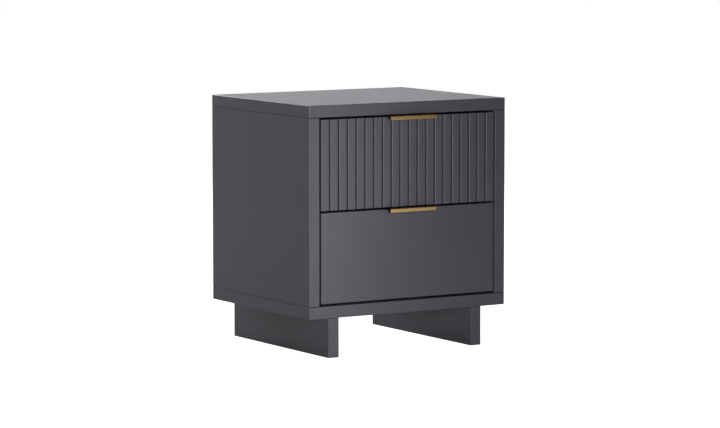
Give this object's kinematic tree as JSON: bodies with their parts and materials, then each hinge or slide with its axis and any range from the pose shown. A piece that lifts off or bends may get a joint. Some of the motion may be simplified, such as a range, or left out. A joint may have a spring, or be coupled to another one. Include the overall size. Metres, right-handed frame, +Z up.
{
  "type": "nightstand with drawers",
  "caption": "Low two-drawer bedside cabinet on panel legs, with a fluted upper front, a plain lower front, brass edge pulls and ball-bearing slides.",
  "frame": {"origin": "on the floor, under the middle of the overall box, whose front is the handles' lips", "axes": "+Z up, -Y out of the drawer fronts, +X to the right of someone facing them"},
  "size_m": [0.515, 0.453, 0.56],
  "materials": {
    "lacquered_board": "satin anthracite lacquer on fibreboard",
    "drawer_board": "matt anthracite laminate",
    "hardboard": "matt painted hardboard",
    "brass": "brushed lengthways, satin",
    "zinc_steel": "bright zinc plate",
    "cast_zinc": "dull cast zinc",
    "ball_cage": "dark pressed steel strip"
  },
  "bodies": {
    "cabinet": {"top_panel": "lacquered_board", "bottom_panel": "lacquered_board", "left_side_panel": "lacquered_board", "right_side_panel": "lacquered_board", "left_leg_panel": "lacquered_board", "right_leg_panel": "lacquered_board", "back_panel": "hardboard", "left_cam_lock_lower_front": "cast_zinc", "left_cam_lock_lower_rear": "cast_zinc", "left_cam_lock_upper_front": "cast_zinc", "left_cam_lock_upper_rear": "cast_zinc", "right_cam_lock_lower_front": "cast_zinc", "right_cam_lock_lower_rear": "cast_zinc", "right_cam_lock_upper_front": "cast_zinc", "right_cam_lock_upper_rear": "cast_zinc", "left_leg_screw_front": "zinc_steel", "left_leg_screw_rear": "zinc_steel", "right_leg_screw_front": "zinc_steel", "right_leg_screw_rear": "zinc_steel", "upper_left_cabinet_slide": "zinc_steel", "upper_right_cabinet_slide": "zinc_steel", "lower_left_cabinet_slide": "zinc_steel", "lower_right_cabinet_slide": "zinc_steel"},
    "upper_drawer": {"upper_drawer_front": "lacquered_board", "upper_drawer_left_side": "drawer_board", "upper_drawer_right_side": "drawer_board", "upper_drawer_back": "drawer_board", "upper_drawer_bottom": "hardboard", "upper_drawer_left_cam": "cast_zinc", "upper_drawer_right_cam": "cast_zinc", "upper_handle": "brass", "upper_handle_screw_left": "zinc_steel", "upper_handle_screw_right": "zinc_steel", "upper_left_drawer_slide": "zinc_steel", "upper_right_drawer_slide": "zinc_steel"},
    "upper_middle_slides": {"upper_left_middle_slide": "zinc_steel", "upper_right_middle_slide": "zinc_steel"},
    "upper_outer_ball_cages": {"upper_left_outer_ball_cage": "ball_cage", "upper_right_outer_ball_cage": "ball_cage"},
    "upper_inner_ball_cages": {"upper_left_inner_ball_cage": "ball_cage", "upper_right_inner_ball_cage": "ball_cage"},
    "lower_drawer": {"lower_drawer_front": "lacquered_board", "lower_drawer_left_side": "drawer_board", "lower_drawer_right_side": "drawer_board", "lower_drawer_back": "drawer_board", "lower_drawer_bottom": "hardboard", "lower_drawer_left_cam": "cast_zinc", "lower_drawer_right_cam": "cast_zinc", "lower_handle": "brass", "lower_handle_screw_left": "zinc_steel", "lower_handle_screw_right": "zinc_steel", "lower_left_drawer_slide": "zinc_steel", "lower_right_drawer_slide": "zinc_steel"},
    "lower_middle_slides": {"lower_left_middle_slide": "zinc_steel", "lower_right_middle_slide": "zinc_steel"},
    "lower_outer_ball_cages": {"lower_left_outer_ball_cage": "ball_cage", "lower_right_outer_ball_cage": "ball_cage"},
    "lower_inner_ball_cages": {"lower_left_inner_ball_cage": "ball_cage", "lower_right_inner_ball_cage": "ball_cage"}
  },
  "joints": [
    {"name": "upper_drawer_travel", "type": "slide", "parent": "cabinet", "child": "upper_drawer", "axis": [0, -1, 0], "range_m": [0, 0.35]},
    {"name": "lower_drawer_travel", "type": "slide", "parent": "cabinet", "child": "lower_drawer", "axis": [0, -1, 0], "range_m": [0, 0.35]},
    {"name": "upper_middle_slides_travel", "type": "slide", "parent": "cabinet", "child": "upper_middle_slides", "axis": [0, -1, 0], "range_m": [0, 0.175]},
    {"name": "upper_outer_ball_cages_travel", "type": "slide", "parent": "cabinet", "child": "upper_outer_ball_cages", "axis": [0, -1, 0], "range_m": [0, 0.0875]},
    {"name": "upper_inner_ball_cages_travel", "type": "slide", "parent": "cabinet", "child": "upper_inner_ball_cages", "axis": [0, -1, 0], "range_m": [0, 0.2625]},
    {"name": "lower_middle_slides_travel", "type": "slide", "parent": "cabinet", "child": "lower_middle_slides", "axis": [0, -1, 0], "range_m": [0, 0.175]},
    {"name": "lower_outer_ball_cages_travel", "type": "slide", "parent": "cabinet", "child": "lower_outer_ball_cages", "axis": [0, -1, 0], "range_m": [0, 0.0875]},
    {"name": "lower_inner_ball_cages_travel", "type": "slide", "parent": "cabinet", "child": "lower_inner_ball_cages", "axis": [0, -1, 0], "range_m": [0, 0.2625]}
  ],
  "couplings": [
    {"joint": "upper_middle_slides_travel", "follows": "upper_drawer_travel", "ratio": 0.5},
    {"joint": "upper_outer_ball_cages_travel", "follows": "upper_drawer_travel", "ratio": 0.25},
    {"joint": "upper_inner_ball_cages_travel", "follows": "upper_drawer_travel", "ratio": 0.75},
    {"joint": "lower_middle_slides_travel", "follows": "lower_drawer_travel", "ratio": 0.5},
    {"joint": "lower_outer_ball_cages_travel", "follows": "lower_drawer_travel", "ratio": 0.25},
    {"joint": "lower_inner_ball_cages_travel", "follows": "lower_drawer_travel", "ratio": 0.75}
  ]
}
